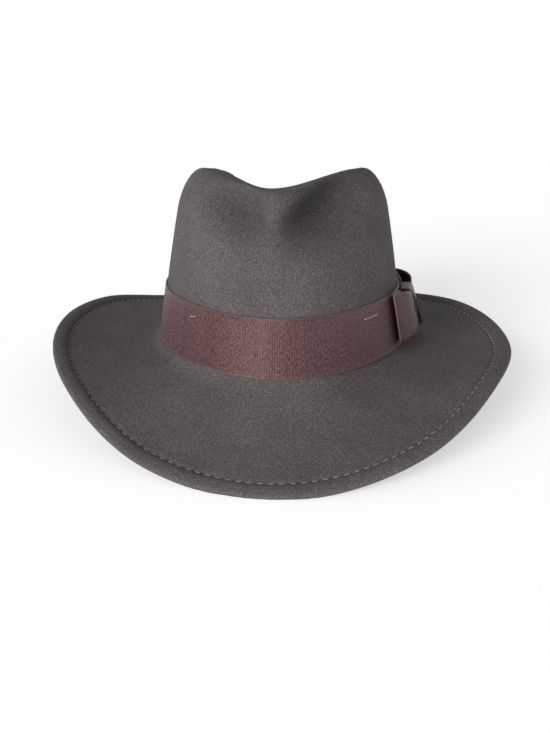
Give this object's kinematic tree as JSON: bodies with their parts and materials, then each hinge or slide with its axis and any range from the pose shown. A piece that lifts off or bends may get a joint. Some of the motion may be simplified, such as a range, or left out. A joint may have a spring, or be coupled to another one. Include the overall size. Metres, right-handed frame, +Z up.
{
  "type": "fedora",
  "caption": "Felt fedora with a centre-dented, front-pinched crown, a snapped brim with a stitched edge, a wide grosgrain ribbon and a flat side bow.",
  "frame": {"origin": "on the surface that the hat rests on, below the middle of the brim", "axes": "+Z up, -Y towards the front of the hat, +X towards the side with the bow, which is the wearer's left"},
  "size_m": [0.3186, 0.354, 0.154],
  "materials": {
    "felt": "matte",
    "ribbon": "satin",
    "thread": "matte"
  },
  "bodies": {
    "root": {"crown_and_brim": "felt", "ribbon_band": "ribbon", "bow_front_loop": "ribbon", "bow_back_loop": "ribbon", "bow_knot": "ribbon"}
  },
  "joints": []
}
